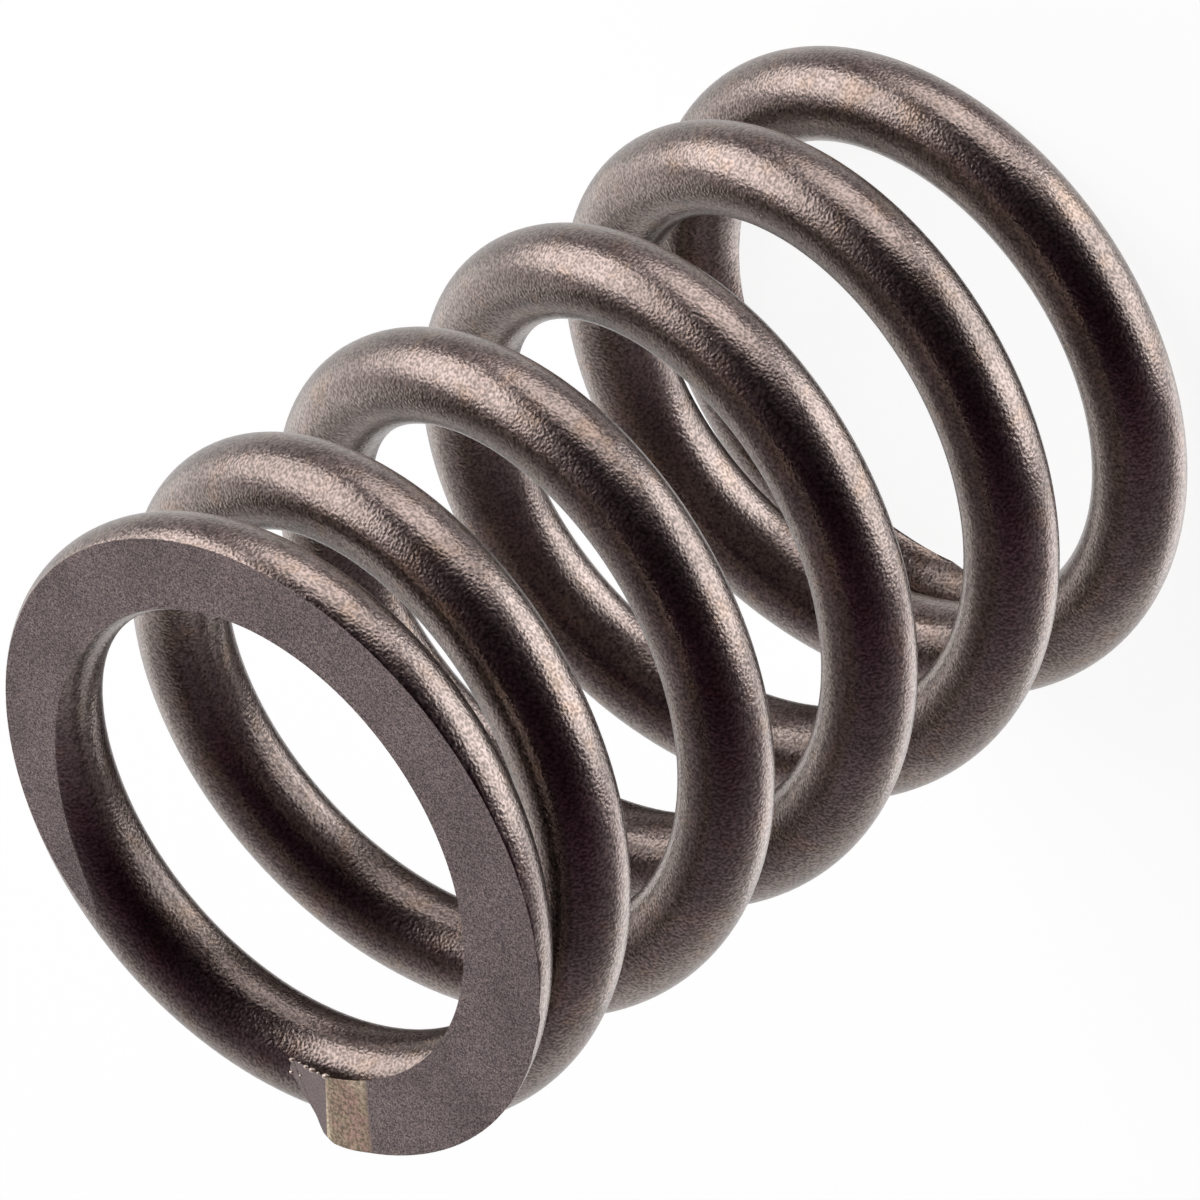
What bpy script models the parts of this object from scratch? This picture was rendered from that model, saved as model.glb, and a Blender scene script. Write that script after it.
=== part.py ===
"""Engine valve spring: a left-hand helical compression spring of round wire.

Both ends are closed against the next coil and ground flat, and each wire tip
is thinned by a facet and cut off askew. Lengths are in metres, angles in
degrees, +Z is the spring's axis and the origin is the centre of the bottom
ground face. The top end of the wire is at the front, -Y.
"""

import math

import bmesh
import bpy
import numpy as np
from mathutils import Matrix, Vector

WIRE_DIAMETER = 0.0040
COIL_DIAMETER = 0.0254  # between the wire's centres
FREE_LENGTH = 0.0435
TURNS = 6.05
RAMP_TURNS = 0.60  # over which a closed coil opens to the full pitch
TOP_CLOSED_TURNS = 0.96
BOTTOM_CLOSED_TURNS = 0.92
PITCH_GROWTH = 0.0005  # how much wider the open pitch is at the bottom than at the top
TIP_CLEARANCE = 0.00004  # between a tip and the coil it lies on

# A stretch of the top end coil is pressed down towards the next coil and in
# towards the axis. Where it lies is in turns from the top end of the wire.
TOP_DIP = 0.0007
TOP_INSET = 0.00018
DIP_START = 0.08
DIP_FULL = 0.38
DIP_EASING = 0.40
DIP_END = 0.73

TOP_TIP_THICKNESS = 0.0008  # of the wire left under the ground face at its end
BOTTOM_TIP_THICKNESS = 0.0013

# Each tip, along the wire from its end: a cut across it, then a facet that
# climbs to a ridge, then a slight bevel up to the ground face.
RIDGE_DISTANCE = 0.0027
BEVEL_LENGTH = 0.0024
BEVEL_ANGLE = 1.5
FACET_ANGLE = 13.0
FACET_SKEW = -10.0  # the ridge's outer side is nearer the wire's end
CUT_DISTANCE = 0.00115
CUT_SKEW = 40.0  # the cut's outer side is farther from the wire's end

BLOCK_OVERRUN = 0.0004  # of the cut's block, past the wire's end

SEGMENTS_PER_TURN = 36
WIRE_SIDES = 20
STEPS_PER_TURN = 400  # of the sum that turns pitch into height
SHARP_EDGE_ANGLE = 30.0

STEEL_COLOUR = (0.16, 0.125, 0.11, 1.0)
STEEL_ROUGHNESS = 0.42

COIL_RADIUS = COIL_DIAMETER / 2
WIRE_RADIUS = WIRE_DIAMETER / 2
BLOCK_HEIGHT = WIRE_DIAMETER  # of the cutting blocks, out of the ground face
TOP_TIP_AZIMUTH = -90.0
BOTTOM_TIP_AZIMUTH = TOP_TIP_AZIMUTH + 360.0 * TURNS


def clear_scene():
    for thing in list(bpy.data.objects):
        bpy.data.objects.remove(thing, do_unlink=True)


def smooth_step(x):
    x = np.clip(x, 0.0, 1.0)
    return x * x * (3.0 - 2.0 * x)


def open_share(turns_from_end, closed_turns):
    """0 where the coil is closed, 1 where it has the full pitch."""
    ramp_start = closed_turns - RAMP_TURNS / 2
    return smooth_step((turns_from_end - ramp_start) / RAMP_TURNS)


def closed_pitch(open_pitch, share):
    """The pitch of a closed end whose first turn clears its own tip."""
    first_turn_rise = WIRE_DIAMETER + TIP_CLEARANCE
    return (first_turn_rise - np.mean(open_pitch * share)) / (1.0 - np.mean(share))


def heights(turn, mean_open_pitch):
    """Height above the bottom wire end at each turn, for this mean open pitch."""
    open_pitch = mean_open_pitch - PITCH_GROWTH * (turn / TURNS - 0.5)
    bottom_share = open_share(turn, BOTTOM_CLOSED_TURNS)
    top_share = open_share(TURNS - turn, TOP_CLOSED_TURNS)
    first = turn <= 1.0
    last = turn >= TURNS - 1.0
    bottom_pitch = closed_pitch(open_pitch[first], bottom_share[first])
    top_pitch = closed_pitch(open_pitch[last], top_share[last])
    pitch = np.where(
        turn < TURNS / 2,
        bottom_pitch + (open_pitch - bottom_pitch) * bottom_share,
        top_pitch + (open_pitch - top_pitch) * top_share,
    )
    rises = (pitch[1:] + pitch[:-1]) / 2 * np.diff(turn)
    return np.concatenate([[0.0], np.cumsum(rises)])


def dip_share(turns_from_top):
    """0 where the top end coil lies as wound, 1 where it is pressed in fully."""
    pressed = smooth_step((turns_from_top - DIP_START) / (DIP_FULL - DIP_START))
    eased = smooth_step((turns_from_top - DIP_EASING) / (DIP_END - DIP_EASING))
    return pressed * (1.0 - eased)


def centre_line():
    """Azimuth, radius and height of the wire's centre, from its bottom end up."""
    bottom_height = BOTTOM_TIP_THICKNESS - WIRE_RADIUS
    top_height = FREE_LENGTH - TOP_TIP_THICKNESS + WIRE_RADIUS
    turn = np.linspace(0.0, TURNS, round(TURNS * STEPS_PER_TURN) + 1)
    # The total rise is linear in the open pitch, so two trials give the pitch that fits.
    rise_at_0 = heights(turn, 0.0)[-1]
    rise_at_1 = heights(turn, 1.0)[-1]
    rise_wanted = top_height - bottom_height
    mean_open_pitch = (rise_wanted - rise_at_0) / (rise_at_1 - rise_at_0)
    height = bottom_height + heights(turn, mean_open_pitch)
    ring_turn = np.linspace(0.0, TURNS, round(TURNS * SEGMENTS_PER_TURN) + 1)
    # A left-hand coil runs clockwise, seen from above, as it climbs.
    azimuth = np.radians(BOTTOM_TIP_AZIMUTH) - 2 * math.pi * ring_turn
    dip = dip_share(TURNS - ring_turn)
    radius = COIL_RADIUS - TOP_INSET * dip
    return azimuth, radius, np.interp(ring_turn, turn, height) - TOP_DIP * dip


def climb_at(turn):
    """How steeply the wire climbs at this turn, as height over length along the coil."""
    height = centre_line()[2]
    ring_turn = np.linspace(0.0, TURNS, len(height))
    pitch = np.gradient(height, ring_turn)
    return float(np.interp(turn, ring_turn, pitch)) / (math.pi * COIL_DIAMETER)


def add_wire(name):
    """The whole round wire before it is ground, as one closed mesh."""
    azimuth, radius, height = centre_line()
    centres = np.stack([radius * np.cos(azimuth), radius * np.sin(azimuth), height], axis=1)
    tangents = np.gradient(centres, axis=0)
    mesh = bmesh.new()
    rings = []
    for centre, tangent, angle in zip(centres, tangents, azimuth):
        outward = Vector((math.cos(angle), math.sin(angle), 0.0))
        upward = Vector(tangent).cross(outward).normalized()
        ring = []
        for side in range(WIRE_SIDES):
            turned = 2 * math.pi * side / WIRE_SIDES
            offset = outward * math.cos(turned) + upward * math.sin(turned)
            ring.append(mesh.verts.new(Vector(centre) + offset * WIRE_RADIUS))
        rings.append(ring)
    for lower, upper in zip(rings, rings[1:]):
        for side in range(WIRE_SIDES):
            after = (side + 1) % WIRE_SIDES
            mesh.faces.new((lower[side], lower[after], upper[after], upper[side]))
    mesh.faces.new(rings[0])
    mesh.faces.new(rings[-1])
    bmesh.ops.recalc_face_normals(mesh, faces=mesh.faces)
    return add_object(name, mesh, Matrix())


def add_object(name, mesh, matrix):
    data = bpy.data.meshes.new(name)
    mesh.to_mesh(data)
    mesh.free()
    thing = bpy.data.objects.new(name, data)
    thing.matrix_world = matrix
    bpy.context.scene.collection.objects.link(thing)
    return thing


def add_cutter(name, profile, half_width, matrix):
    """A block that has this outline in its own YZ plane and runs along its own X."""
    mesh = bmesh.new()
    sides = []
    for x in (-half_width, half_width):
        sides.append([mesh.verts.new((x, y, z)) for y, z in profile])
    for i in range(len(profile)):
        j = (i + 1) % len(profile)
        mesh.faces.new((sides[0][i], sides[0][j], sides[1][j], sides[1][i]))
    mesh.faces.new(sides[0])
    mesh.faces.new(sides[1])
    bmesh.ops.recalc_face_normals(mesh, faces=mesh.faces)
    cutter = add_object(name, mesh, matrix)
    cutter.hide_render = True
    cutter.display_type = "WIRE"
    return cutter


def face_frame(azimuth, up):
    """A frame on the coil's centre circle in a ground face.

    X points outward, Z out of the face, and Y along the wire, away from its end.
    """
    level = FREE_LENGTH if up > 0 else 0.0
    outward = Vector((math.cos(azimuth), math.sin(azimuth), 0.0))
    out_of_face = Vector((0.0, 0.0, up))
    along = out_of_face.cross(outward)
    frame = Matrix((outward, along, out_of_face)).transposed().to_4x4()
    return Matrix.Translation(outward * COIL_RADIUS + Vector((0.0, 0.0, level))) @ frame


def block_on_slope(slope, reach):
    """The outline of a block whose underside falls towards -Y from the origin."""
    return [
        (BLOCK_HEIGHT / slope, BLOCK_HEIGHT),
        (-reach, -reach * slope),
        (-reach, BLOCK_HEIGHT),
    ]


def add_end_cutters(end, up, tip_azimuth, tip_thickness):
    """The blocks that grind one end flat and shape its tip."""
    level = FREE_LENGTH if up > 0 else 0.0
    out = up * BLOCK_HEIGHT
    reach = COIL_RADIUS + WIRE_DIAMETER
    grind_profile = [(-reach, 0.0), (reach, 0.0), (reach, out), (-reach, out)]
    grind_frame = Matrix.Translation((0.0, 0.0, level))
    grind = add_cutter(f"{end}_grinding", grind_profile, reach, grind_frame)

    ridge_azimuth = math.radians(tip_azimuth) + up * RIDGE_DISTANCE / COIL_RADIUS
    ridge = face_frame(ridge_azimuth, up)
    facet_skew = Matrix.Rotation(math.radians(FACET_SKEW), 4, "Z")
    facet_corner = WIRE_RADIUS * abs(math.sin(math.radians(FACET_SKEW)))
    bevel_slope = math.tan(math.radians(BEVEL_ANGLE))
    bevel_reach = BEVEL_LENGTH + RIDGE_DISTANCE + WIRE_RADIUS
    bevel_profile = block_on_slope(bevel_slope, bevel_reach)
    bevel_frame = ridge @ Matrix.Translation((0.0, BEVEL_LENGTH, 0.0)) @ facet_skew
    bevel = add_cutter(f"{end}_bevel", bevel_profile, WIRE_DIAMETER, bevel_frame)

    facet_slope = math.tan(math.radians(FACET_ANGLE))
    facet_start = BEVEL_LENGTH * bevel_slope / facet_slope
    facet_reach = facet_start + RIDGE_DISTANCE + facet_corner
    facet_profile = block_on_slope(facet_slope, facet_reach)
    facet_frame = ridge @ Matrix.Translation((0.0, facet_start, 0.0)) @ facet_skew
    facet = add_cutter(f"{end}_facet", facet_profile, WIRE_DIAMETER, facet_frame)

    # The cut comes out midway between the tip and the coil that it lies on, so
    # its underside climbs towards the wire's end as that coil does.
    skew = math.radians(CUT_SKEW)
    coil_climb = climb_at(TURNS - 1.0 if up > 0 else 1.0)
    depth = tip_thickness + TIP_CLEARANCE / 2 + coil_climb * CUT_DISTANCE
    outer_corner = WIRE_RADIUS * math.sin(skew)
    cut_reach = CUT_DISTANCE * math.cos(skew) + outer_corner + BLOCK_OVERRUN
    cut_profile = [
        (0.0, BLOCK_HEIGHT),
        (0.0, -depth),
        (-cut_reach, -depth + coil_climb * math.cos(skew) * cut_reach),
        (-cut_reach, BLOCK_HEIGHT),
    ]
    cut_start = Matrix.Translation((0.0, CUT_DISTANCE - RIDGE_DISTANCE, 0.0))
    cut_turn = Matrix.Rotation(skew, 4, "Z")
    cut_roll = Matrix.Rotation(math.atan(coil_climb * math.sin(skew)), 4, "Y")
    cut_frame = ridge @ cut_start @ cut_turn @ cut_roll
    cut_half_width = WIRE_RADIUS / math.cos(skew)
    tip_cut = add_cutter(f"{end}_cut", cut_profile, cut_half_width, cut_frame)
    return [grind, bevel, facet, tip_cut]


def cut(thing, cutters):
    for cutter in cutters:
        modifier = thing.modifiers.new(cutter.name, "BOOLEAN")
        modifier.operation = "DIFFERENCE"
        modifier.solver = "EXACT"
        modifier.object = cutter


def add_spring_steel():
    """Dark bronze-grey, shot-peened spring steel."""
    material = bpy.data.materials.new("spring_steel")
    material.use_nodes = True
    shader = material.node_tree.nodes["Principled BSDF"]
    shader.inputs["Base Color"].default_value = STEEL_COLOUR
    shader.inputs["Metallic"].default_value = 1.0
    shader.inputs["Roughness"].default_value = STEEL_ROUGHNESS
    return material


def main():
    clear_scene()
    spring = add_wire("valve_spring")
    spring.data.materials.append(add_spring_steel())
    for face in spring.data.polygons:
        face.use_smooth = True
    cut(spring, add_end_cutters("top", 1, TOP_TIP_AZIMUTH, TOP_TIP_THICKNESS))
    cut(spring, add_end_cutters("bottom", -1, BOTTOM_TIP_AZIMUTH, BOTTOM_TIP_THICKNESS))
    spring.data.set_sharp_from_angle(angle=math.radians(SHARP_EDGE_ANGLE))


main()
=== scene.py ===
"""Engine valve spring: the looks of a left-hand spring of round, shot-peened wire.

It runs as a script around the packed model, and is laid out as a Blender add-on.
Lengths are in metres, +Z is the spring's axis, and the origin is the centre of
the bottom ground face. The top end of the wire is at the front, -Y.
"""

import math

import bmesh
import bpy
import numpy as np
from bpy.props import (
    FloatProperty,
    FloatVectorProperty,
    IntProperty,
    PointerProperty,
)
from mathutils import Matrix, Vector

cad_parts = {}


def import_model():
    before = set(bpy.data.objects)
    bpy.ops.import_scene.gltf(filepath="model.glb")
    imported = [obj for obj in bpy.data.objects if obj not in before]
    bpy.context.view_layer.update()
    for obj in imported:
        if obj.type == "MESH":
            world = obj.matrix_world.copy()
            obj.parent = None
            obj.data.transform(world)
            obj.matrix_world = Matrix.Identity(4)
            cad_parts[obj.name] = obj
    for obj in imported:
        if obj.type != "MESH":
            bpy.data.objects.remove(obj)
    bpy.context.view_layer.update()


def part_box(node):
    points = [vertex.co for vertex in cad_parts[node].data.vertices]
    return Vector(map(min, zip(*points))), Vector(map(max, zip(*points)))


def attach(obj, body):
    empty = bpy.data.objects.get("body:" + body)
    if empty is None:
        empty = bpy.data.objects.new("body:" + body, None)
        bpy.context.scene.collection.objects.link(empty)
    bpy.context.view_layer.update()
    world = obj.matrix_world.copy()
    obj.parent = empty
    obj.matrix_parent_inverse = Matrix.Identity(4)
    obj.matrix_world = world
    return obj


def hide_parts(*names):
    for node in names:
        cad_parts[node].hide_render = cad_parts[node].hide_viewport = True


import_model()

bl_info = {
    "name": "Valve Spring",
    "version": (1, 0, 0),
    "blender": (4, 5, 0),
    "location": "View3D > Sidebar > Valve Spring",
    "description": "Models an engine valve spring with ground ends, and its stage",
    "category": "Mesh",
}

CAD_NODE = "valve_spring"
CAD_LOW, CAD_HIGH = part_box(CAD_NODE)
WIRE_DIAMETER = 0.0040

MARKS = ("flat", "bevel", "facet", "cut")  # the ground faces, as the steel reads them
BEAD_MARK = "bead"
TURN_LAYER = "turn"
ACROSS_LAYER = "across"  # distance across the wire from a tip's ridge, outwards
ALONG_LAYER = "along"  # distance along the wire from that ridge, away from the tip

TIP_TURNS = 0.13  # the part of the wire that an end's bevel, facet and cut can reach
TIP_REACH = 0.0042  # how far from the ridge a tip's outline can lie
CUT_THRESHOLD = 1e-7  # a vertex this near to a cutting plane counts as on it
PLANE_TOLERANCE = 1e-6  # a face this near to a plane lies on it
FLAT_ANGLE = math.radians(0.05)  # the faces of a flat that differ by less become one

# The outline of a tip as grinding has drawn it, in the ridge's frame. The cut's edge
# goes through these points: its share from inner to outer corner, then x and y.
CUT_EDGE = (
    (0.00, -0.00168, -0.00200),
    (0.10, -0.00126, -0.00231),
    (0.25, -0.00070, -0.00215),
    (0.36, -0.00010, -0.00172),
    (0.50, 0.00020, -0.00138),
    (0.65, 0.00064, -0.00103),
    (0.80, 0.00112, -0.00086),
    (0.92, 0.00142, -0.00070),
    (1.00, 0.00160, -0.00030),
)
CUT_EDGE_SPLITS = 16  # new vertices on each of the cut's edges, so that it can bend
INNER_EDGE = -0.00166  # x of the tip's inner edge
INNER_EDGE_END = 0.0004  # y where that edge meets the wire's own
OUTER_FLASH = 0.00009  # how far metal stands out at the tip's outer edge
OUTER_FLASH_PLACE = 0.0006  # y where it stands out most
OUTER_FLASH_REACH = 0.0016  # from there to where it has faded out, on either side

# The beads of burr near a tip's inner edge, in the same frame: x, y and radius.
BEADS = (
    (-0.00160, -0.00206, 0.00011),
    (-0.00166, -0.00150, 0.00006),
    (-0.00163, -0.00107, 0.00010),
    (-0.00163, -0.00063, 0.00013),
    (-0.00165, -0.00020, 0.00007),
    (-0.00163, 0.00026, 0.00015),
    (-0.00092, -0.00231, 0.00009),
    (-0.00100, -0.00165, 0.00006),
)
BEAD_SCALE = (0.9, 1.3, 0.8)  # a bead is longer along the edge, and flatter
BEAD_CLEARANCE = 0.00001  # how far a bead's top stays under the flat's plane

# How a noise pattern shades a colour: from which value of the noise up to which, the
# colour's share at the lower one, and what the upper one adds to it.
CLOUD_SHADING = (0.25, 0.75, 0.80, 0.35)
DENT_SHADING = (0.25, 0.75, 0.58, 0.8)
SCRATCH_SHADING = (0.30, 0.70, 0.36, 1.3)
TINT_SHADING = (0.3, 0.7, 0.45, 1.0)
FACET_SHADING = (0.3, 0.7, 0.65, 0.7)

# From which value of a noise pattern up to which one colour turns into another.
BURNT_STAIN = (0.50, 0.72)
PLUM_SPECKS = (0.36, 0.68)
COPPER_MIDDLE = (0.56, 0.76)
BURNT_SHARE = 0.5  # how much of the burnt colour the darkest stain has
COPPER_MOTTLE = 0.3  # how much the mottle breaks up the copper's outline

# The edges of the heat tint on the bevel, in metres from the ridge, or across the
# wire for the inner rim: where one starts, where it ends and how far it wanders.
RIDGE_RIM = (0.00015, 0.00040, 0.0003)
INNER_RIM = (-0.00145, -0.00110, 0.0004)
TINT_END = (0.0024, 0.0029, 0.0006)
RIDGE_RIM_STRAW = 0.25  # how much of the straw colour each rim has
INNER_RIM_STRAW = 0.40

# Each lamp's name, direction from the spring, diameter, power in watts and colour.
LAMPS = (
    ("left_lamp", (-0.804, 0.447, 0.392), 0.62, 2.95, (1.0, 0.99, 0.98)),
    ("top_lamp", (-0.190, 0.922, -0.338), 0.56, 1.95, (1.0, 0.98, 0.97)),
    ("right_lamp", (0.538, 0.382, -0.748), 0.66, 3.7, (0.98, 1.0, 1.0)),
    ("right_rim_lamp", (0.312, -0.537, -0.784), 0.50, 0.85, (0.98, 0.98, 1.0)),
    ("left_rim_lamp", (-0.892, -0.427, 0.142), 0.50, 0.45, (1.0, 0.98, 0.97)),
)
WHITE = (1.0, 1.0, 1.0)
# The surroundings' colour at each angle, in degrees, from the middle of their opening.
SURROUNDINGS = (
    (180.0, WHITE),
    (128.0, WHITE),
    (100.0, (0.330, 0.284, 0.318)),
    (60.0, (0.090, 0.046, 0.076)),
    (45.0, (0.045, 0.017, 0.033)),
    (22.0, (0.012, 0.003, 0.010)),
)
SENSOR_WIDTH = 36.0  # of the camera, in millimetres


def length(name, description, default):
    return FloatProperty(
        name=name,
        description=description,
        default=default,
        precision=5,
        unit="LENGTH",
    )


def angle(name, description, degrees):
    return FloatProperty(
        name=name,
        description=description,
        default=math.radians(degrees),
        subtype="ANGLE",
    )


def number(name, description, default):
    return FloatProperty(name=name, description=description, default=default)


def count(name, description, default):
    return IntProperty(name=name, description=description, default=default, min=3)


def colour(name, description, default):
    return FloatVectorProperty(
        name=name,
        description=description,
        default=default,
        min=0.0,
        max=1.0,
        subtype="COLOR",
    )


class WireSizes(bpy.types.PropertyGroup):
    """The coiled wire, before its ends are ground."""

    diameter: length("Wire diameter", "Diameter of the round wire", WIRE_DIAMETER)
    coil_diameter: length(
        "Coil diameter",
        "Diameter of the coil between the wire's centres",
        CAD_HIGH.x - CAD_LOW.x - WIRE_DIAMETER,
    )
    free_length: length("Free length", "Height of the spring", CAD_HIGH.z)
    turns: number("Turns", "Turns from one end of the wire to the other", 6.05)
    ramp_turns: number("Ramp", "Turns over which a closed coil opens", 0.60)
    top_closed: number("Top closed", "Turns to the middle of the top ramp", 0.96)
    bottom_closed: number(
        "Bottom closed", "Turns to the middle of the bottom ramp", 0.92
    )
    pitch_growth: length(
        "Pitch growth", "How much wider the pitch is at the bottom", 0.0005
    )
    tip_clearance: length(
        "Tip clearance", "Gap between a tip and the coil it lies on", 0.00004
    )
    dip: length("Dip", "How far the top coil is pressed down", 0.0007)
    inset: length("Inset", "How far it is pressed in towards the axis", 0.00018)
    dip_start: number("Dip start", "Turns from the top end to the dip", 0.08)
    dip_full: number("Dip full", "Turns from the top end to its deepest part", 0.38)
    dip_easing: number("Dip easing", "Turns to where it gets shallower", 0.40)
    dip_end: number("Dip end", "Turns from the top end to where it ends", 0.73)
    top_tip_azimuth: angle("Top tip", "Direction of the wire's top end", -90.0)
    rings_per_turn: count("Rings", "Rings of the mesh in one turn", 150)
    sides: count("Sides", "Sides of the wire's section", 64)


class TipSizes(bpy.types.PropertyGroup):
    """How each end of the wire is ground and cut, measured from its ridge."""

    top_thickness: length("Top thickness", "Wire left at the top end", 0.0008)
    bottom_thickness: length("Bottom thickness", "Wire left at the bottom end", 0.0013)
    ridge_distance: length("Ridge", "From the wire's end to the ridge", 0.0027)
    bevel_length: length("Bevel", "From the ridge to the flat", 0.0024)
    bevel_angle: angle("Bevel angle", "Slope between flat and ridge", 1.5)
    facet_angle: angle("Facet angle", "Slope between ridge and cut", 13.0)
    facet_skew: angle("Facet skew", "Turn of the ridge across the wire", -10.0)
    cut_distance: length("Cut", "From the wire's end to the cut", 0.00115)
    cut_skew: angle("Cut skew", "Turn of the cut across the wire", 40.0)


class SteelFinish(bpy.types.PropertyGroup):
    """The colours and the grain of the steel."""

    peened: colour("Peened", "Colour of the round wire", (0.214, 0.174, 0.159))
    burnt: colour("Burnt", "Warm stain on the peened wire", (0.240, 0.170, 0.125))
    ground: colour("Ground", "Colour of the ground ends", (0.266, 0.216, 0.200))
    plum: colour("Plum", "Darker specks on the ground ends", (0.178, 0.140, 0.145))
    bronze: colour("Bronze", "Colour of the heat-tinted bevel", (0.420, 0.338, 0.235))
    copper: colour("Copper", "Middle of the heat-tinted bevel", (0.430, 0.290, 0.235))
    straw: colour("Straw", "Rim of the heat-tinted bevel", (0.760, 0.660, 0.480))
    # The facet's dark colour is painted shade, for the facet lying unlit.
    facet: colour("Facet", "Colour of the facet at the tip", (0.140, 0.104, 0.102))
    # The beads' light colour is a painted highlight, for the light that these small
    # beads catch.
    bead: colour("Bead", "Colour of the beads of burr", (0.620, 0.530, 0.460))
    grain: length("Grain", "Size of the marks that peening leaves", 0.00013)
    dent: length("Dent", "Depth of those marks", 0.000020)
    scratch_share: number("Scratches", "Depth of the grinding marks, in dents", 0.35)
    peened_roughness: number("Peened roughness", "Least, on the round wire", 0.23)
    roughness_spread: number("Spread", "How much rougher its roughest specks are", 0.12)
    ground_roughness: number("Ground roughness", "Of the ground ends", 0.42)
    bead_roughness: number("Bead roughness", "Of the beads of burr", 0.5)


class StageSizes(bpy.types.PropertyGroup):
    """The floor, the camera, the lamps and the surroundings."""

    floor_size: length("Floor", "Side of the square floor", 1.2)
    floor_matt: colour("Floor matt", "Share of light it scatters", (0.20, 0.20, 0.20))
    floor_white: number("Floor white", "Brightness it keeps in the shadow", 0.90)
    lamp_distance: length("Lamps", "From the spring's middle to each lamp", 0.6)
    opening_azimuth: angle("Opening azimuth", "Where the surroundings are dark", 57.9)
    opening_elevation: angle("Opening elevation", "Height of that opening", 30.8)
    camera_target: FloatVectorProperty(
        name="Target",
        description="Where the camera looks",
        default=(-0.00011, -0.00022, 0.02206),
        subtype="TRANSLATION",
    )
    camera_distance: length("Distance", "From the camera to its target", 0.63519)
    camera_azimuth: angle("Azimuth", "Direction of the camera", 48.56)
    camera_elevation: angle("Elevation", "Height of the camera", 37.17)
    camera_roll: angle("Roll", "Turn of the camera about its line of sight", -126.56)
    camera_lens: number("Lens", "Focal length in millimetres", 458.59)


PROPERTY_GROUPS = {
    "spring_wire": WireSizes,
    "spring_tips": TipSizes,
    "spring_finish": SteelFinish,
    "spring_stage": StageSizes,
}


class Link:
    """An output socket of a shader node, with arithmetic."""

    def __init__(self, nodes, socket):
        self.nodes = nodes
        self.socket = socket

    def maths(self, operation, first, second, clamp=False):
        settings = {"operation": operation, "use_clamp": clamp}
        return self.nodes.add("ShaderNodeMath", settings, {0: first, 1: second})

    def __add__(self, other):
        return self.maths("ADD", self, other)

    def __sub__(self, other):
        return self.maths("SUBTRACT", self, other)

    def __mul__(self, other):
        return self.maths("MULTIPLY", self, other)

    def __rsub__(self, other):
        return self.maths("SUBTRACT", other, self)

    def clamped(self):
        return self.maths("ADD", self, 0.0, clamp=True)

    def between(self, low, high):
        """0 up to low, 1 from high, and smooth between them."""
        settings = {"interpolation_type": "SMOOTHSTEP"}
        sockets = {"Value": self, "From Min": low, "From Max": high}
        return self.nodes.add("ShaderNodeMapRange", settings, sockets)


class Nodes:
    """The nodes of a material or of the world."""

    def __init__(self, holder):
        holder.use_nodes = True
        self.tree = holder.node_tree
        self.tree.nodes.clear()

    def add(self, kind, settings, sockets, output=0):
        """A node: its settings come first, then the values or links of its sockets."""
        node = self.tree.nodes.new(kind)
        for name, value in settings.items():
            if name == "stops":
                self.set_stops(node.color_ramp, value)
            else:
                setattr(node, name, value)
        for key, value in sockets.items():
            if isinstance(value, Link):
                self.tree.links.new(value.socket, node.inputs[key])
            else:
                node.inputs[key].default_value = value
        return Link(self, node.outputs[output]) if node.outputs else node

    def set_stops(self, ramp, stops):
        for _ in range(len(stops) - len(ramp.elements)):
            ramp.elements.new(0.5)
        for element, (position, shade) in zip(ramp.elements, stops):
            element.position = position
            element.color = opaque(shade)

    def mix(self, factor, first, second, blend="MIX"):
        settings = {"data_type": "RGBA", "blend_type": blend}
        return self.add(
            "ShaderNodeMix", settings, {0: factor, 6: first, 7: second}, output=2
        )

    def mix_numbers(self, factor, first, second):
        """A number between two numbers."""
        return factor * (second - first) + first

    def shade(self, base, pattern, shading):
        """A colour made darker and lighter by a pattern, as this shading says."""
        start, end, least, gain = shading
        amount = pattern.between(start, end) * gain + least
        grey = self.add("ShaderNodeCombineXYZ", {}, {0: amount, 1: amount, 2: amount})
        return self.mix(1.0, base, grey, "MULTIPLY")

    def attribute(self, name):
        return self.add("ShaderNodeAttribute", {"attribute_name": name}, {}, "Fac")

    def place(self):
        return self.add("ShaderNodeTexCoord", {}, {}, output="Object")

    def noise(self, place, size, detail, roughness):
        """A noise pattern with marks of this size."""
        sockets = {
            "Vector": place,
            "Scale": 1.0 / size,
            "Detail": detail,
            "Roughness": roughness,
        }
        return self.add("ShaderNodeTexNoise", {}, sockets)


def opaque(shade):
    return (*shade, 1.0)


def smooth_step(x):
    x = np.clip(x, 0.0, 1.0)
    return x * x * (3.0 - 2.0 * x)


def coil_heights(wire, turn, mean_open_pitch):
    """Height above the bottom wire end at each turn, for this mean open pitch."""
    open_pitch = mean_open_pitch - wire.pitch_growth * (turn / wire.turns - 0.5)
    pitch = open_pitch.copy()
    ends = (
        (turn, turn < wire.turns / 2, wire.bottom_closed),
        (wire.turns - turn, turn >= wire.turns / 2, wire.top_closed),
    )
    for from_end, half, closed_turns in ends:
        ramp_start = closed_turns - wire.ramp_turns / 2
        share = smooth_step((from_end - ramp_start) / wire.ramp_turns)
        first_turn = from_end <= 1.0
        first_rise = wire.diameter + wire.tip_clearance
        open_rise = np.mean(open_pitch[first_turn] * share[first_turn])
        closed = (first_rise - open_rise) / (1.0 - np.mean(share[first_turn]))
        pitch[half] = (closed + (open_pitch - closed) * share)[half]
    rises = (pitch[1:] + pitch[:-1]) / 2 * np.diff(turn)
    return np.concatenate([[0.0], np.cumsum(rises)])


def dip_share(wire, from_top):
    """0 where the top coil lies as wound, 1 where it is pressed in fully."""
    start, easing = wire.dip_start, wire.dip_easing
    pressed = smooth_step((from_top - start) / (wire.dip_full - start))
    eased = smooth_step((from_top - easing) / (wire.dip_end - easing))
    return pressed * (1.0 - eased)


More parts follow.
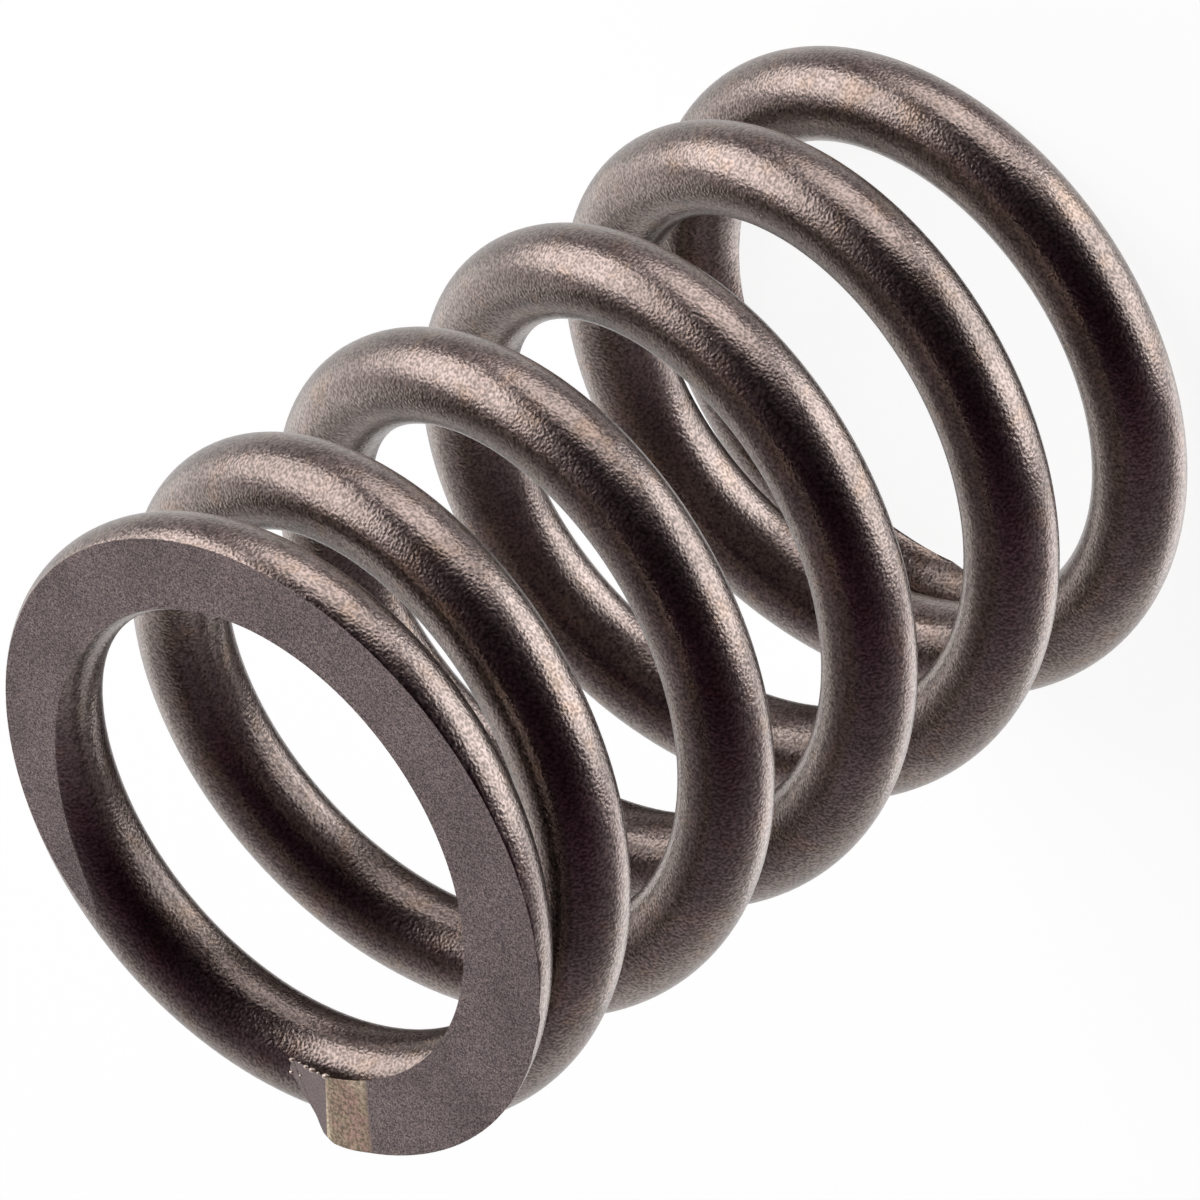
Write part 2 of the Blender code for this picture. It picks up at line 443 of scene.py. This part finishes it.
def centre_line(wire, tips):
    """Azimuth and centre of each ring of the wire, from its bottom end up."""
    bottom_height = tips.bottom_thickness - wire.diameter / 2
    top_height = wire.free_length - tips.top_thickness + wire.diameter / 2
    rings = round(wire.turns * wire.rings_per_turn) + 1
    turn = np.linspace(0.0, wire.turns, rings)
    # The total rise is linear in the open pitch, so two trials give the one that fits.
    rise_at_0 = coil_heights(wire, turn, 0.0)[-1]
    rise_at_1 = coil_heights(wire, turn, 1.0)[-1]
    rise_wanted = top_height - bottom_height
    pitch = (rise_wanted - rise_at_0) / (rise_at_1 - rise_at_0)
    height = bottom_height + coil_heights(wire, turn, pitch)
    azimuth = wire.top_tip_azimuth + 2 * math.pi * (wire.turns - turn)
    dip = dip_share(wire, wire.turns - turn)
    radius = wire.coil_diameter / 2 - wire.inset * dip
    centres = np.stack(
        [radius * np.cos(azimuth), radius * np.sin(azimuth), height - wire.dip * dip],
        axis=1,
    )
    return azimuth, centres


def start_edit(thing):
    bpy.ops.object.select_all(action="DESELECT")
    thing.select_set(True)
    bpy.context.view_layer.objects.active = thing
    bpy.ops.object.mode_set(mode="EDIT")
    bpy.ops.mesh.select_all(action="DESELECT")


def select_faces(thing, wanted):
    """Selects the faces that wanted(face, turn layer) says, in edit mode."""
    bpy.ops.mesh.select_mode(type="FACE")
    bpy.ops.mesh.select_all(action="DESELECT")
    mesh = bmesh.from_edit_mesh(thing.data)
    turn = mesh.verts.layers.float[TURN_LAYER]
    for face in mesh.faces:
        face.select = wanted(face, turn)
    mesh.select_flush_mode()
    bmesh.update_edit_mesh(thing.data)


def coil_wire(wire, tips):
    """The whole round wire: a circle screwed round the axis, then given its pitch."""
    bpy.ops.object.select_all(action="DESELECT")
    bpy.ops.mesh.primitive_circle_add(
        vertices=wire.sides,
        radius=wire.diameter / 2,
        location=(wire.coil_diameter / 2, 0.0, 0.0),
        rotation=(math.pi / 2, 0.0, 0.0),
    )
    thing = bpy.context.object
    thing.name = "spring_wire"
    bpy.ops.object.transform_apply(location=True, rotation=True, scale=True)
    azimuth, centres = centre_line(wire, tips)
    screw = thing.modifiers.new("coil", "SCREW")
    screw.angle = azimuth[-1] - azimuth[0]
    screw.steps = len(azimuth) - 1
    screw.render_steps = screw.steps
    screw.use_smooth_shade = True
    bpy.ops.object.modifier_apply(modifier=screw.name)

    section = np.array([v.co[:] for v in thing.data.vertices[: wire.sides]])
    outward_of = section[:, 0] - wire.coil_diameter / 2
    upward_of = section[:, 2]
    tangents = np.gradient(centres, axis=0)
    outward = np.stack([np.cos(azimuth), np.sin(azimuth), 0 * azimuth], axis=1)
    upward = np.cross(tangents, outward)
    upward /= np.linalg.norm(upward, axis=1, keepdims=True)
    points = (
        centres[:, None, :]
        + outward[:, None, :] * outward_of[None, :, None]
        + upward[:, None, :] * upward_of[None, :, None]
    )
    thing.data.vertices.foreach_set("co", points.astype(np.float32).ravel())
    turn = np.repeat(np.linspace(0.0, wire.turns, len(azimuth)), wire.sides)
    layer = thing.data.attributes.new(TURN_LAYER, "FLOAT", "POINT")
    layer.data.foreach_set("value", turn.astype(np.float32))
    return thing


def close_ends():
    bpy.ops.mesh.select_mode(type="EDGE")
    bpy.ops.mesh.select_non_manifold(extend=False, use_boundary=True)
    bpy.ops.mesh.fill_holes(sides=0)
    bpy.ops.mesh.select_all(action="SELECT")
    bpy.ops.mesh.normals_make_consistent(inside=False)


def face_frame(wire, azimuth, up):
    """A frame on the coil's centre circle in a ground face.

    X points outward, Z out of the face, and Y along the wire, away from its end.
    """
    level = wire.free_length if up > 0 else 0.0
    outward = Vector((math.cos(azimuth), math.sin(azimuth), 0.0))
    out_of_face = Vector((0.0, 0.0, up))
    along = out_of_face.cross(outward)
    turned = Matrix((outward, along, out_of_face)).transposed().to_4x4()
    centre = outward * wire.coil_diameter / 2 + Vector((0.0, 0.0, level))
    return Matrix.Translation(centre) @ turned


def ridge_frame(wire, tips, up):
    """The frame of a tip, where the facet meets the bevel."""
    tip_azimuth = wire.top_tip_azimuth
    if up < 0:
        tip_azimuth += 2 * math.pi * wire.turns
    along = up * tips.ridge_distance / (wire.coil_diameter / 2)
    return face_frame(wire, tip_azimuth + along, up)


def cut_plane(point, normal):
    """Cuts the selected faces, drops what the normal points at, and closes the cut."""
    bpy.ops.mesh.bisect(
        plane_co=point,
        plane_no=normal,
        use_fill=True,
        clear_outer=True,
        threshold=CUT_THRESHOLD,
    )


def tip_planes(wire, tips, up):
    """The planes of the bevel, the facet and the cut at one tip: point and normal."""
    facet_start = (
        tips.bevel_length * math.tan(tips.bevel_angle) / math.tan(tips.facet_angle)
    )
    ridge = ridge_frame(wire, tips, up)
    planes = []
    for start, skew, slope in (
        (tips.bevel_length, tips.facet_skew, tips.bevel_angle),
        (facet_start, tips.facet_skew, tips.facet_angle),
        (tips.cut_distance - tips.ridge_distance, tips.cut_skew, math.pi / 2),
    ):
        turned = Matrix.Rotation(skew, 4, "Z") @ Matrix.Rotation(slope, 4, "X")
        frame_at = ridge @ Matrix.Translation((0.0, start, 0.0)) @ turned
        planes.append((frame_at.translation, frame_at.to_3x3() @ Vector((0, 0, 1))))
    return planes


def grind_end(thing, wire, tips, up):
    """Grinds one end flat and shapes its tip. It returns the plane for each mark."""
    level = wire.free_length if up > 0 else 0.0
    face_plane = (Vector((0.0, 0.0, level)), Vector((0.0, 0.0, up)))
    bpy.ops.mesh.select_all(action="SELECT")
    cut_plane(*face_plane)
    select_faces(thing, lambda face, turn: lies_on(face, face_plane))
    bpy.ops.mesh.quads_convert_to_tris(quad_method="BEAUTY", ngon_method="BEAUTY")
    end_turn = wire.turns if up > 0 else 0.0
    planes = tip_planes(wire, tips, up)
    for plane in planes:
        select_faces(
            thing,
            lambda face, turn: all(
                abs(vertex[turn] - end_turn) < TIP_TURNS for vertex in face.verts
            ),
        )
        cut_plane(*plane)
    select_faces(thing, lambda face, turn: lies_on(face, face_plane))
    bpy.ops.mesh.dissolve_limited(angle_limit=FLAT_ANGLE)
    return dict(zip(MARKS, [face_plane] + planes))


def lies_on(face, plane):
    point, normal = plane
    return all(
        abs((vertex.co - point).dot(normal)) < PLANE_TOLERANCE for vertex in face.verts
    )


def mark_faces(thing, mark):
    """Gives the selected faces 1 in an attribute of this name, and the others 0."""
    mesh = bmesh.from_edit_mesh(thing.data)
    layer = mesh.faces.layers.float.new(mark)
    for face in mesh.faces:
        face[layer] = float(face.select)
    bmesh.update_edit_mesh(thing.data)


def on_tip(ridge, place, planes_of):
    """The point of the bevel or the facet, whichever is lower, at this place."""
    into_ridge = ridge.inverted()
    lowest = 0.0
    for mark in ("bevel", "facet"):
        point, normal = planes_of[mark]
        start = into_ridge @ point
        slope = into_ridge.to_3x3() @ normal
        level = start.z - (
            slope.x * (place.x - start.x) + slope.y * (place.y - start.y)
        ) / slope.z
        lowest = min(lowest, level)
    return ridge @ Vector((place.x, place.y, lowest))


def draw_out_burr(thing, ridge, planes_of):
    """Moves a tip's outline to where grinding has drawn it, on the tip's own planes."""
    into_ridge = ridge.inverted()
    shares, edge_x, edge_y = zip(*CUT_EDGE)

    def is_here(vertex):
        return (into_ridge @ vertex.co).length < TIP_REACH

    mesh = bmesh.from_edit_mesh(thing.data)
    facet, cut = (mesh.faces.layers.float[mark] for mark in ("facet", "cut"))
    for edge in mesh.edges:
        marks = sorted((face[facet], face[cut]) for face in edge.link_faces)
        edge.select = marks == [(0.0, 1.0), (1.0, 0.0)] and is_here(edge.verts[0])
    bmesh.update_edit_mesh(thing.data)
    bpy.ops.mesh.select_mode(type="EDGE")
    bpy.ops.mesh.subdivide(number_cuts=CUT_EDGE_SPLITS)

    # The operator may have remade the mesh, so its layers are fetched again.
    mesh = bmesh.from_edit_mesh(thing.data)
    facet, cut, bevel = (mesh.faces.layers.float[m] for m in ("facet", "cut", "bevel"))
    cut_edge, sides = [], []
    for vertex in mesh.verts:
        if not is_here(vertex):
            continue
        faces = vertex.link_faces
        on_top = any(face[facet] or face[bevel] for face in faces)
        if on_top and any(face[cut] for face in faces):
            cut_edge.append(vertex)
        elif on_top and not all(face[facet] or face[bevel] for face in faces):
            sides.append(vertex)
    across = [(into_ridge @ vertex.co).x for vertex in cut_edge]
    for vertex, x in zip(cut_edge, across):
        share = (x - min(across)) / (max(across) - min(across))
        x_there = np.interp(share, shares, edge_x)
        y_there = np.interp(share, shares, edge_y)
        vertex.co = on_tip(ridge, Vector((x_there, y_there, 0.0)), planes_of)
    for vertex in sides:
        place = into_ridge @ vertex.co
        if place.x < 0 and place.y < INNER_EDGE_END:
            place.x = min(place.x, INNER_EDGE)
        elif place.x > 0:
            off_flash = abs(place.y - OUTER_FLASH_PLACE) / OUTER_FLASH_REACH
            place.x += OUTER_FLASH * smooth_step(1.0 - off_flash)
        vertex.co = on_tip(ridge, place, planes_of)
    bmesh.update_edit_mesh(thing.data)


def measure_tips(thing, ridges):
    """Notes on each vertex where it lies from the ridge of the tip on its side."""
    mesh = bmesh.from_edit_mesh(thing.data)
    across = mesh.verts.layers.float.new(ACROSS_LAYER)
    along = mesh.verts.layers.float.new(ALONG_LAYER)
    top, bottom = (ridge.inverted() for ridge in ridges)
    middle = (ridges[0].translation.z + ridges[1].translation.z) / 2
    for vertex in mesh.verts:
        place = (top if vertex.co.z > middle else bottom) @ vertex.co
        vertex[across] = place.x
        vertex[along] = place.y
    bmesh.update_edit_mesh(thing.data)


def split_tip_faces(thing, ends):
    """Splits the tips' faces: the beads' Boolean drops vertices of a bent face."""
    planes = [planes_of[mark] for planes_of in ends for mark in ("facet", "bevel")]
    cut = bmesh.from_edit_mesh(thing.data).faces.layers.float["cut"]
    select_faces(
        thing,
        lambda face, turn: face[cut] > 0.0 or any(lies_on(face, p) for p in planes),
    )
    bpy.ops.mesh.quads_convert_to_tris(quad_method="BEAUTY", ngon_method="BEAUTY")


def add_burr_beads(thing, ridge, planes_of):
    """Small beads of metal along a tip's inner edge, melded into it."""
    bpy.ops.object.select_all(action="DESELECT")
    beads = []
    for x, y, radius in BEADS:
        # A bead sits half in the tip's surface, and stays just under the flat's plane.
        centre = ridge.inverted() @ on_tip(ridge, Vector((x, y, 0.0)), planes_of)
        centre.z = min(centre.z, -BEAD_SCALE[2] * radius - BEAD_CLEARANCE)
        bpy.ops.mesh.primitive_ico_sphere_add(
            subdivisions=2,
            radius=radius,
            location=ridge @ centre,
            rotation=ridge.to_euler(),
            scale=BEAD_SCALE,
        )
        beads.append(bpy.context.object)
    for bead in beads:
        bead.select_set(True)
    bpy.ops.object.join()
    bpy.ops.object.transform_apply(location=True, rotation=True, scale=True)
    bpy.ops.object.shade_smooth()
    joined = bpy.context.object
    mark = joined.data.attributes.new(BEAD_MARK, "FLOAT", "FACE")
    mark.data.foreach_set("value", [1.0] * len(joined.data.polygons))
    meld = thing.modifiers.new("beads", "BOOLEAN")
    meld.operation = "UNION"
    meld.solver = "MANIFOLD"
    meld.object = joined
    bpy.context.view_layer.objects.active = thing
    bpy.ops.object.modifier_apply(modifier=meld.name)
    bpy.data.objects.remove(joined, do_unlink=True)


def model_spring(wire, tips):
    """The whole piece, as one closed mesh."""
    thing = coil_wire(wire, tips)
    start_edit(thing)
    close_ends()
    ends = (grind_end(thing, wire, tips, 1), grind_end(thing, wire, tips, -1))
    bpy.ops.mesh.select_all(action="SELECT")
    bpy.ops.mesh.faces_shade_smooth()
    for mark in MARKS:
        planes = [planes_of[mark] for planes_of in ends]
        select_faces(thing, lambda face, turn: any(lies_on(face, p) for p in planes))
        bpy.ops.mesh.faces_shade_flat()
        mark_faces(thing, mark)
    ridges = (ridge_frame(wire, tips, 1), ridge_frame(wire, tips, -1))
    for ridge, planes_of in zip(ridges, ends):
        draw_out_burr(thing, ridge, planes_of)
    measure_tips(thing, ridges)
    split_tip_faces(thing, ends)
    bpy.ops.object.mode_set(mode="OBJECT")
    thing.data.attributes.remove(thing.data.attributes[TURN_LAYER])
    for ridge, planes_of in zip(ridges, ends):
        add_burr_beads(thing, ridge, planes_of)
    return thing


def steel(wire, tips, finish):
    """Shot-peened wire with ground end faces and a heat-tinted bevel at each tip."""
    material = bpy.data.materials.new("peened_steel")
    nodes = Nodes(material)
    place = nodes.place()
    flat, bevel, facet, cut = (nodes.attribute(mark) for mark in MARKS)
    bead = nodes.attribute(BEAD_MARK)
    across = nodes.attribute(ACROSS_LAYER)
    along = nodes.attribute(ALONG_LAYER)
    ground = (flat + bevel + facet + cut).clamped()

    dents = nodes.noise(place, finish.grain, detail=0.4, roughness=0.5)
    speckle = nodes.noise(place, finish.grain * 2.0, detail=1.0, roughness=0.5)
    clouds = nodes.noise(place, wire.diameter, detail=3.0, roughness=0.6)
    stain = nodes.noise(place, wire.diameter * 0.4, detail=3.0, roughness=0.6)
    scratches = nodes.noise(place, finish.grain * 0.65, detail=2.0, roughness=0.6)
    mottle = nodes.noise(place, finish.grain * 1.05, detail=2.0, roughness=0.6)

    burnt = stain.between(*BURNT_STAIN) * BURNT_SHARE
    peened = nodes.mix(burnt, opaque(finish.peened), opaque(finish.burnt))
    peened = nodes.shade(peened, clouds, CLOUD_SHADING)
    peened = nodes.shade(peened, dents, DENT_SHADING)

    specks = mottle.between(*PLUM_SPECKS)
    ground_steel = nodes.mix(specks, opaque(finish.ground), opaque(finish.plum))
    ground_steel = nodes.shade(ground_steel, clouds, CLOUD_SHADING)
    ground_steel = nodes.shade(ground_steel, scratches, SCRATCH_SHADING)

    def before(distance, edge):
        """1 before this edge of the heat tint, 0 past it, and smooth between them."""
        start, end, wander = edge
        return 1.0 - (distance + mottle * wander).between(start, end)

    past_ridge = along + across * math.tan(-tips.facet_skew)
    ridge_rim = before(past_ridge, RIDGE_RIM) * RIDGE_RIM_STRAW
    inner_rim = before(across, INNER_RIM) * INNER_RIM_STRAW
    rim = (ridge_rim + inner_rim).clamped()
    middle = (stain + mottle * COPPER_MOTTLE).between(*COPPER_MIDDLE)
    tinted = nodes.mix(middle, opaque(finish.bronze), opaque(finish.copper))
    tinted = nodes.mix(rim, tinted, opaque(finish.straw))
    tinted = nodes.shade(tinted, mottle, TINT_SHADING)
    fade = before(past_ridge, TINT_END)
    # The facet's dark colour is painted shade; the scratches that vary it are its
    # grain.
    facet_shade_and_grain = nodes.shade(opaque(finish.facet), scratches, FACET_SHADING)

    colour_of = nodes.mix(ground, peened, ground_steel)
    colour_of = nodes.mix((bevel * fade).clamped(), colour_of, tinted)
    colour_of = nodes.mix(facet, colour_of, facet_shade_and_grain)
    # The beads get their light colour, a painted highlight.
    colour_of = nodes.mix(bead, colour_of, opaque(finish.bead))

    height = nodes.mix_numbers(ground, dents, scratches * finish.scratch_share)
    bump = nodes.add(
        "ShaderNodeBump",
        {},
        {"Strength": 1.0, "Distance": finish.dent, "Height": height},
    )
    roughness = speckle * finish.roughness_spread + finish.peened_roughness
    roughness = nodes.mix_numbers(ground, roughness, finish.ground_roughness)
    roughness = nodes.mix_numbers(bead, roughness, finish.bead_roughness)
    surface = nodes.add(
        "ShaderNodeBsdfPrincipled",
        {},
        {
            "Base Color": colour_of,
            "Metallic": 1.0,
            "Roughness": roughness,
            "Normal": bump,
        },
    )
    nodes.add("ShaderNodeOutputMaterial", {}, {"Surface": surface})
    return material


class SPRING_OT_wire(bpy.types.Operator):
    """Model the ground and shot-peened spring wire"""

    bl_idname = "spring.wire"
    bl_label = "Spring wire"

    def execute(self, context):
        scene = context.scene
        thing = model_spring(scene.spring_wire, scene.spring_tips)
        thing.data.materials.clear()
        thing.data.materials.append(
            steel(scene.spring_wire, scene.spring_tips, scene.spring_finish)
        )
        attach(thing, "root")
        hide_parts(CAD_NODE)
        return {"FINISHED"}


def direction_of(azimuth, elevation):
    """The direction from the spring at this azimuth and elevation."""
    direction = Vector((1.0, 0.0, 0.0))
    direction.rotate(Matrix.Rotation(-elevation, 3, "Y"))
    direction.rotate(Matrix.Rotation(azimuth, 3, "Z"))
    return direction


def add_camera(stage):
    back = direction_of(stage.camera_azimuth, stage.camera_elevation)
    place = Vector(stage.camera_target) + back * stage.camera_distance
    bpy.ops.object.camera_add(location=place)
    camera = bpy.context.object
    upright = back.to_track_quat("Z", "Y").to_matrix().to_4x4()
    roll = Matrix.Rotation(stage.camera_roll, 4, "Z")
    camera.matrix_world = Matrix.Translation(place) @ upright @ roll
    camera.data.sensor_width = SENSOR_WIDTH
    camera.data.lens = stage.camera_lens
    bpy.context.scene.camera = camera


def add_floor(stage):
    """The pale floor. Only the camera sees it, so lamps can stand below its level."""
    bpy.ops.mesh.primitive_plane_add(size=stage.floor_size)
    floor = bpy.context.object
    floor.name = "floor"
    material = bpy.data.materials.new("pale_floor")
    nodes = Nodes(material)
    matt = nodes.add("ShaderNodeBsdfDiffuse", {}, {"Color": opaque(stage.floor_matt)})
    white = nodes.add("ShaderNodeEmission", {}, {"Strength": stage.floor_white})
    pale = nodes.add("ShaderNodeAddShader", {}, {0: matt, 1: white})
    clear = nodes.add("ShaderNodeBsdfTransparent", {}, {})
    seen = nodes.add("ShaderNodeLightPath", {}, {}, output="Is Camera Ray")
    surface = nodes.add("ShaderNodeMixShader", {}, {0: seen, 1: clear, 2: pale})
    nodes.add("ShaderNodeOutputMaterial", {}, {"Surface": surface})
    floor.data.materials.append(material)


def add_lamp(name, direction, stage, size, power, shade):
    """A soft lamp in this direction from the spring, aimed at its middle."""
    middle = Vector(stage.camera_target)
    place = middle + Vector(direction).normalized() * stage.lamp_distance
    bpy.ops.object.light_add(type="AREA", location=place)
    lamp = bpy.context.object
    lamp.name = name
    lamp.data.shape = "DISK"
    lamp.data.size = size
    lamp.data.energy = power
    lamp.data.color = shade
    lamp.visible_camera = False
    lamp.rotation_euler = (middle - place).to_track_quat("-Z", "Y").to_euler()


def facing_place(degrees_off):
    """Where a direction this far off the opening stands on the ramp."""
    return 0.5 + 0.5 * math.cos(math.radians(degrees_off))


def light_world(stage):
    """White surroundings, like a light tent's, with a dark opening near the camera."""
    world = bpy.data.worlds.new("surroundings")
    bpy.context.scene.world = world
    nodes = Nodes(world)
    direction = nodes.add("ShaderNodeTexCoord", {}, {}, output="Generated")
    facing = nodes.add(
        "ShaderNodeVectorMath",
        {"operation": "DOT_PRODUCT"},
        {0: direction, 1: direction_of(stage.opening_azimuth, stage.opening_elevation)},
        output="Value",
    )
    stops = [(facing_place(angle_off), shade) for angle_off, shade in SURROUNDINGS]
    shade = nodes.add(
        "ShaderNodeValToRGB", {"stops": stops}, {"Fac": facing * 0.5 + 0.5}
    )
    seen = nodes.add("ShaderNodeLightPath", {}, {}, output="Is Camera Ray")
    shade = nodes.mix(seen, shade, opaque(WHITE))
    background = nodes.add("ShaderNodeBackground", {}, {"Color": shade})
    nodes.add("ShaderNodeOutputWorld", {}, {"Surface": background})


class SPRING_OT_stage(bpy.types.Operator):
    """Add the floor, the camera and the lamps"""

    bl_idname = "spring.stage"
    bl_label = "Stage"

    def execute(self, context):
        stage = context.scene.spring_stage
        add_floor(stage)
        add_camera(stage)
        light_world(stage)
        for name, direction, size, power, shade in LAMPS:
            add_lamp(name, direction, stage, size, power, shade)
        context.scene.view_settings.view_transform = "Standard"
        return {"FINISHED"}


class SPRING_PT_panel(bpy.types.Panel):
    """The valve spring's sizes and operators"""

    bl_idname = "SPRING_PT_panel"
    bl_label = "Valve Spring"
    bl_space_type = "VIEW_3D"
    bl_region_type = "UI"
    bl_category = "Valve Spring"

    def draw(self, context):
        for name, group in PROPERTY_GROUPS.items():
            box = self.layout.box()
            box.label(text=group.__doc__)
            for key in group.__annotations__:
                box.prop(getattr(context.scene, name), key)
        for operator in OPERATORS:
            self.layout.operator(operator.bl_idname)


OPERATORS = (SPRING_OT_wire, SPRING_OT_stage)
CLASSES = (*PROPERTY_GROUPS.values(), *OPERATORS, SPRING_PT_panel)


def register():
    for kind in CLASSES:
        bpy.utils.register_class(kind)
    for name, group in PROPERTY_GROUPS.items():
        setattr(bpy.types.Scene, name, PointerProperty(type=group))


def unregister():
    for name in PROPERTY_GROUPS:
        delattr(bpy.types.Scene, name)
    for kind in reversed(CLASSES):
        bpy.utils.unregister_class(kind)


def main():
    register()
    bpy.ops.spring.wire()
    bpy.ops.spring.stage()


if __name__ == "__main__":
    main()
